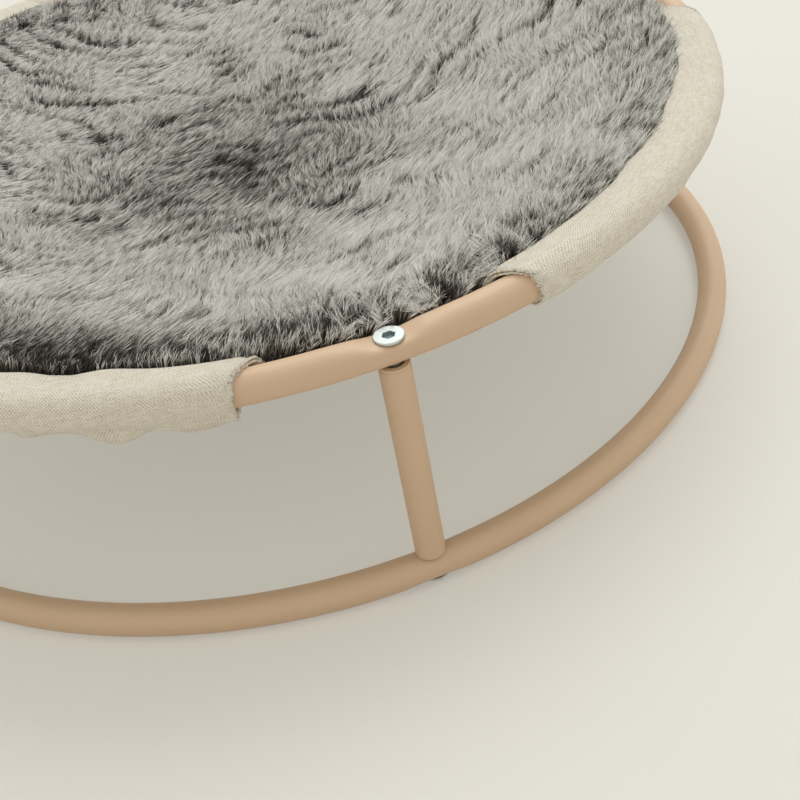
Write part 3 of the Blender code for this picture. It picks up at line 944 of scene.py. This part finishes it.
backing_low = wadding_low + WADDING + FIT
mesh = dish_shell("plush_backing", backing_low, backing_low + BACKING, BACKING_EDGE_SHARE, BACKING_STEPS)
backing = put("plush_backing", mesh, knitted_backing(), "plush", "plush_top")
FIBRE = frosted_fibre()
for wedge in range(WEDGES):
    points, tint = pile_wedge(wedge)
    firsts = 5 * np.arange(len(points))[:, None, None]
    faces = (firsts + STRAND_FACES).reshape(-1, 3)
    along = np.broadcast_to(STRAND_ALONG, points.shape[:2])
    flat = np.stack((tint[:, None] + STRAND_SIDE, along), axis=-1)[:, STRAND_FACES]
    mesh = mesh_from("pile", points.reshape(-1, 3), faces, flat, "strand")
    baked = mesh.uv_layers.new(name="OFBake")
    baked.uv.foreach_set("vector", flat.astype(np.float32).ravel())
    mesh.uv_layers["strand"].active_render = True
    put(f"plush_pile_{wedge + 1}", mesh, FIBRE, "plush")
PLUSH_DISC = 2 * HOOP_RADIUS * BACKING_EDGE_SHARE
math.pi * PLUSH_DISC**2 / 4


# The sleeves
# Linen sewn to the sling's rim goes over the hoop, down to a pressed fold, hangs behind it
# in a slack pouch and runs back as a flap under the sling. Each end is faced with a second
# layer, and the raw edges of both show.

SLEEVE_NAMES = ("back_right", "back_left", "front_left", "front_right")
SLEEVE_LAYER = 0.00085
LAYER_GAP = 0.00032
SLEEVE_EASE = 0.0003
WRAP_RADIUS = TUBE_RADIUS + SLEEVE_EASE + SLEEVE_LAYER + LAYER_GAP
SEAM_LIFT = 0.0009
SNUG = 0.0007
SNUG_LENGTH = 0.030
ARCH_OUT = 0.0092
ARCH_DROP = 0.0002
ARCH_LENGTH = 0.007
FOLDS = ((0, 0.0020, -0.0105), (0.022, 0.0020, -0.0105), (0.046, -0.0008, -0.0074),
         (0.220, -0.0008, -0.0076))
BACK_OUT = -0.0034
BACK_LIFT = 0.0006
POUCH_OUT = -0.0042
POUCH_IN = 0.0112
POUCH_DEPTHS = ((0, 0.0148), (0.008, 0.0200), (0.044, 0.0212), (0.080, 0.0178), (0.110, 0.0184),
                (0.140, 0.0130), (0.220, 0.0106))
POUCH_END = 0.030
POUCH_WAVE = 0.060
PLEAT_DEPTH = 0.0017
PLEAT_LENGTH = 0.026
PLEAT_WANDER = 0.060
PLEAT_SLANT = 0.6
FLAP_START = 0.002
FLAP_REACH = 0.034
FLAP_DROP = 0.0031
HEM_LENGTH = 0.012
END_FADE = 0.030
END_ACROSS = (0, 0.009, 0.018, 0.026, 0.031, 0.070)
END_TOWARD_POST = (0.0104, 0.0058, -0.0008, -0.0022, -0.0024, -0.0022)
SLEEVE_ROWS = 120
HEM_ROWS = 6
SEAM_STEPS = 16
WRAP_STEPS = 40
DROP_STEPS = 12
FOLD_STEPS = 5
SLACK_STEPS = 24
FLAP_STEPS = 6
RUMPLE = 0.00018
RUMPLE_LENGTH = 0.016
FRAY = 0.00032
FRAY_LENGTH = 0.0024
SCALLOP = 0.0004
SCALLOP_LENGTH = 0.034
NEXT_SLEEVE = 0.37


def below_sling(outward, angle, drop):
    """Out and up from the hoop's middle, a drop below the lining's under side."""
    share = (HOOP_RADIUS + outward) / rim_radius(angle)
    up = sling_height(share) - drop - UPPER_HEIGHT
    return np.stack(np.broadcast_arrays(outward, up), axis=-1)


def steps_along(count, whole=False):
    """Even shares from 0, up to 1 or one step short of it, laid along a section."""
    return np.linspace(0, 1, count, endpoint=whole)[None, :, None]


def drawn(share, *aims):
    """The curve from the first aim to the last that those between draw to themselves: the
    share of the way from each aim to the next, and again of those, until one is left."""
    while len(aims) > 1:
        aims = [aim + (after - aim) * share for aim, after in zip(aims, aims[1:])]
    return aims[0]


def sleeve_section(angle, along, from_end, from_far):
    """Out and up of the cloth in a cut across the hoop at each angle: a curve from the seam
    to the top of the wrap, an arc over the hoop, the arc's tangent down to a fold, a short
    way back, a curve that hangs as a pouch, and a straight flap. Near an end the seam
    arches down by the tube. The far end's fold and pouch hang lower."""
    inset = HOOP_RADIUS - rim_radius(angle)
    arch = 1 - ease(from_end / ARCH_LENGTH)
    wrap = (WRAP_RADIUS - SNUG * ease((from_end - HEM_LENGTH) / SNUG_LENGTH))[:, None]
    scallop = SCALLOP * waves(along, 0 * along, SCALLOP_LENGTH, 31)
    seam = np.stack((-inset - scallop, RIM_TOP + SEAM_LIFT + scallop), axis=-1)
    top = wrap * np.array([0, 1])
    level = (seam + top) / 2
    low = np.array([-ARCH_OUT, -ARCH_DROP])
    high = np.array([-ARCH_OUT, WRAP_RADIUS])
    seam = seam + (low - seam) * arch[:, None]
    aim = level + (high - level) * arch[:, None]
    first = drawn(steps_along(SEAM_STEPS), seam[:, None], aim[:, None], top[:, None])
    places = np.array(FOLDS)
    fold_out = np.interp(from_far, places[:, 0], places[:, 1])
    fold_up = np.interp(from_far, places[:, 0], places[:, 2])
    fold = np.stack((fold_out, fold_up), axis=-1)[:, None]
    away = np.maximum(np.hypot(fold_out, fold_up), wrap[:, 0])
    leave = np.arctan2(fold_up, fold_out) + np.arccos(wrap[:, 0] / away)
    turn = math.pi / 2 + (leave - math.pi / 2)[:, None] * np.linspace(0, 1, WRAP_STEPS)
    over = wrap[:, :, None] * np.stack((np.cos(turn), np.sin(turn)), axis=-1)
    drop = drawn(steps_along(DROP_STEPS)[:, 1:], over[:, -1:], fold)
    back = np.array([BACK_OUT, BACK_LIFT]) + fold * np.array([0, 1])
    under = drawn(steps_along(FOLD_STEPS), fold, back)
    flap_from = below_sling(-inset - FLAP_START, angle, FLAP_DROP)[:, None]
    flap_to = below_sling(-FLAP_REACH + 0 * angle, angle, FLAP_DROP)[:, None]
    depth = np.interp(from_far, *zip(*POUCH_DEPTHS))
    depth = depth * (1 + 0.08 * waves(along, 0 * along, POUCH_WAVE, 34) * ease(from_end / POUCH_END))
    outer = np.stack((POUCH_OUT + 0 * depth, -depth), axis=-1)[:, None]
    inner = np.stack((-POUCH_IN + 0 * depth, -depth), axis=-1)[:, None]
    slack = drawn(steps_along(SLACK_STEPS), back, outer, inner, flap_from)
    flap = drawn(steps_along(FLAP_STEPS, True), flap_from, flap_to)
    return np.concatenate((first, over, drop, under, slack, flap), axis=1)


def sleeve_rows(length):
    """Places along the sleeve and depths inside it: out along the first end's facing, along
    the sleeve itself, and in along the far end's facing."""
    tuck = np.linspace(HEM_LENGTH, 0, HEM_ROWS)
    main = np.linspace(0, length, SLEEVE_ROWS)
    inside = np.full(HEM_ROWS, -SLEEVE_LAYER - LAYER_GAP)
    at = np.concatenate((tuck, main, length - tuck[::-1]))
    return at, np.concatenate((inside, 0 * main, inside))


def sleeve_points(post_angle, seed):
    """The section at each row, moved along its own normal by the facing's depth, by rumples
    past the seam, and by pleats in the slack, which slant as they go under. Each end is
    cut on a slant, nearer to the post at the seam, and frays along its edge."""
    length = HOOP_RADIUS * (QUARTER - 2 * HALF_BARE)
    at, depth = sleeve_rows(length)
    angle = post_angle + HALF_BARE + at / HOOP_RADIUS
    along = at + NEXT_SLEEVE * seed
    from_end = np.minimum(at, length - at)
    section = sleeve_section(angle, along, from_end, length - at)
    tangent = np.gradient(section, axis=1)
    normal = np.stack((-tangent[..., 1], tangent[..., 0]), axis=-1)
    normal = normal / np.linalg.norm(normal, axis=2)[..., None]
    step = np.linalg.norm(np.diff(section, axis=1), axis=2)
    across = np.concatenate((np.zeros((len(at), 1)), np.cumsum(step, axis=1)), axis=1)
    column = np.arange(section.shape[1])[None, :]
    slack_from = SEAM_STEPS + WRAP_STEPS + DROP_STEPS + FOLD_STEPS - 1
    slack_share = (column - slack_from) / SLACK_STEPS
    in_slack = np.sin(math.pi * np.clip(slack_share, 0, 1)) ** 2
    slant = along[:, None] + PLEAT_SLANT * across
    pleat_phase = math.tau * slant / PLEAT_LENGTH + 2.2 * waves(slant, 0 * slant, PLEAT_WANDER, 32)
    pleat = PLEAT_DEPTH * in_slack * np.sin(pleat_phase) * ease(from_end / POUCH_END)[:, None]
    rumple = RUMPLE * waves(along[:, None], across, RUMPLE_LENGTH, 33) * ease(column / SEAM_STEPS)
    section = section + normal * (depth[:, None] + pleat + rumple)[..., None]
    fade = 1 - ease(from_end / END_FADE)
    far = at > length / 2
    fray = FRAY * waves(across, 40 * depth[:, None], FRAY_LENGTH, 35)
    toward = np.interp(across, END_ACROSS, END_TOWARD_POST) + fray
    side = np.where(far, 1, -1)
    angle = angle[:, None] + (side * fade)[:, None] * toward / HOOP_RADIUS
    points = polar(HOOP_RADIUS + section[..., 0], angle, UPPER_HEIGHT + section[..., 1])
    rows_at = np.concatenate(([0], np.cumsum(np.hypot(np.diff(at), np.diff(depth)))))
    return points, rows_at, across.mean(axis=0)


for number, (name, post_angle) in enumerate(zip(SLEEVE_NAMES, POST_ANGLES)):
    points, rows_at, columns_at = sleeve_points(post_angle, number)
    facings_end = (HEM_ROWS - 1, HEM_ROWS + SLEEVE_ROWS - 1)
    mesh = skin("sleeve", points, rows_at, columns_at, cuts=facings_end)
    sleeve = put("linen_sleeve_" + name, mesh, LINEN, "linen", "sleeve_" + name)
    thicken(sleeve, SLEEVE_LAYER)


# The hook and loop strips
# A beige nylon loop strip is sewn under the lining along each sleeve, and a hook strip on
# the flap closes on it, so that the cover comes off for washing.

STRIP = 0.0008
STRIP_NEAR = 0.0165
STRIP_FAR = 0.0325
STRIP_END_MARGIN = 0.010
STRIP_ROWS = 90
STRIP_COLUMNS = 9
HOOK_PITCH = 0.0016
HOOK_RELIEF = 0.0003
NYLON = (0.56, 0.52, 0.43, 1)
NYLON_SHADE = (0.36, 0.33, 0.27, 1)


def nylon_strip():
    """Rows of tiny hooks or loops on woven tape, from a wave each way broken by noise."""
    material, start = new_finish("nylon_strip", {"Sheen Weight": 0.1})
    cut = start.on_cut()
    fuzz = start.noise(cut, 2400.0, 3.0)
    dots = crossed(cut, HOOK_PITCH) * 0.6 + fuzz * 0.4
    feed(material, {
        "Base Color": dots.blend(NYLON_SHADE, NYLON),
        "Roughness": 0.9 - dots * 0.3,
        "Normal": dots.relief(HOOK_RELIEF),
    })
    return material


def strip_mesh(name, post_angle, drop):
    """A band under the lining, from near the rim inward."""
    margin = HALF_BARE + STRIP_END_MARGIN / HOOP_RADIUS
    angle = np.linspace(post_angle + margin, post_angle + QUARTER - margin, STRIP_ROWS)[:, None]
    outward = np.linspace(-STRIP_NEAR, -STRIP_FAR, STRIP_COLUMNS)[None, :]
    section = below_sling(outward + 0 * angle, angle, drop)
    points = polar(HOOP_RADIUS + section[..., 0], angle, UPPER_HEIGHT + section[..., 1])
    rows_at = HOOP_RADIUS * (angle[:, 0] - angle[0, 0])
    return skin(name, points, rows_at, -outward[0])


NYLON_STRIP = nylon_strip()
for kind, drop in (("loop", FIT + STRIP / 2), ("hook", 2 * FIT + STRIP * 1.5)):
    for name, post_angle in zip(SLEEVE_NAMES, POST_ANGLES):
        mesh = strip_mesh(kind, post_angle, drop)
        tape = put(f"{kind}_tape_{name}", mesh, NYLON_STRIP, "strip_nylon", f"{kind}_strip_{name}")
        thicken(tape, STRIP)
        HOOP_RADIUS * QUARTER - BARE_LENGTH


# The floor and the light
# The bed stands on a plain pale floor. A pale sky and one large soft lamp, above and behind
# the bed, light it at a level at which a colour renders about as it is written. To the
# camera a share of the floor is plain white, which keeps its shadows pale.

FLOOR_REACH = 4.0
FLOOR_COLOUR = (0.80, 0.787, 0.735, 1)
FLOOR_DULL_SHARE = 0.97
FLOOR_WHITE = (0.76, 0.735, 0.67, 1)
FLOOR_WHITE_SHARE = 0.38
SKY_COLOUR = (1.0, 0.963, 0.885, 1)
SKY_STRENGTH = 0.74
LAMP_PLACE = Vector((0.97, 1.04, 2.31))
LAMP_SIZE = 1.8
LAMP_POWER = 33.0
LAMP_COLOUR = (0.955, 1.0, 1.04)


def seen_share(start):
    """One on camera, glossy and transmission rays, and nothing on the rays that light."""
    rays = ("Is Camera Ray", "Is Glossy Ray", "Is Transmission Ray")
    camera_ray, glossy_ray, passed_ray = [start.node("LightPath", {}, {}, out=ray) for ray in rays]
    return camera_ray + glossy_ray + passed_ray


floor_mesh = bpy.data.meshes.new("floor")
corners = [(-1, -1), (1, -1), (1, 1), (-1, 1)]
floor_mesh.from_pydata([(x * FLOOR_REACH, y * FLOOR_REACH, 0) for x, y in corners], [], [(0, 1, 2, 3)])
floor = bpy.data.objects.new("floor", floor_mesh)
bpy.context.scene.collection.objects.link(floor)
floor_finish, start = new_finish("pale_floor", {"Specular IOR Level": 0.25})
floor_cloud = start.noise(start.on_object(), 6.0, 4.0)
feed(floor_finish, {
    "Base Color": floor_cloud.blend(FLOOR_COLOUR, tuple(FLOOR_DULL_SHARE * c for c in FLOOR_COLOUR)),
    "Roughness": floor_cloud * 0.2 + 0.5,
})
glow = start.node("Emission", {}, {"Color": FLOOR_WHITE, "Strength": 1.0})
seen = seen_share(start)
lit = Wire(start.tree, start.tree.nodes["Principled BSDF"].outputs[0])
mixed = start.node("MixShader", {}, {0: seen * FLOOR_WHITE_SHARE, 1: lit, 2: glow})
start.tree.links.new(mixed.socket, start.tree.nodes["Material Output"].inputs[0])
floor_mesh.materials.append(floor_finish)

sky = bpy.data.worlds.new("sky")
sky.use_nodes = True
background = sky.node_tree.nodes["Background"]
background.inputs["Color"].default_value = SKY_COLOUR
strength = seen_share(Wire(sky.node_tree)) * (1 - SKY_STRENGTH) + SKY_STRENGTH
sky.node_tree.links.new(strength.socket, background.inputs["Strength"])
bpy.context.scene.world = sky

lamp = bpy.data.objects.new("lamp", bpy.data.lights.new("lamp", "AREA"))
lamp.data.size = LAMP_SIZE
lamp.data.energy = LAMP_POWER
lamp.data.color = LAMP_COLOUR
lamp.location = LAMP_PLACE
lamp.rotation_euler = (-LAMP_PLACE).to_track_quat("-Z", "Y").to_euler()
bpy.context.scene.collection.objects.link(lamp)
bpy.context.scene.view_settings.view_transform = "Standard"


# The camera
# It looks down at the front of the bed from a little to the left, tilted, as the
# photograph was taken. Its place and angles were solved from the two hoops' outlines.

CAMERA_PLACE = Vector((-0.09874, -0.56943, 0.3547))
CAMERA_YAW = 0.2627
CAMERA_DIP = 0.628875
CAMERA_ROLL = -0.19415
CAMERA_LENS = 64.41


def camera_turn(yaw, dip, roll):
    """Ahead is the yaw from +Y, dipped; right and up are square to it, then rolled."""
    ahead = Vector((math.sin(yaw) * math.cos(dip), math.cos(yaw) * math.cos(dip), -math.sin(dip)))
    level = Vector((math.cos(yaw), -math.sin(yaw), 0))
    upright = level.cross(ahead)
    right = level * math.cos(roll) + upright * math.sin(roll)
    up = upright * math.cos(roll) - level * math.sin(roll)
    return Matrix((right, up, -ahead)).transposed()


camera = bpy.data.objects.new("camera", bpy.data.cameras.new("camera"))
camera.data.lens = CAMERA_LENS
camera.data.clip_start = TUBE_RADIUS
camera.matrix_world = Matrix.Translation(CAMERA_PLACE) @ camera_turn(
    CAMERA_YAW, CAMERA_DIP, CAMERA_ROLL).to_4x4()
bpy.context.scene.collection.objects.link(camera)
bpy.context.scene.camera = camera
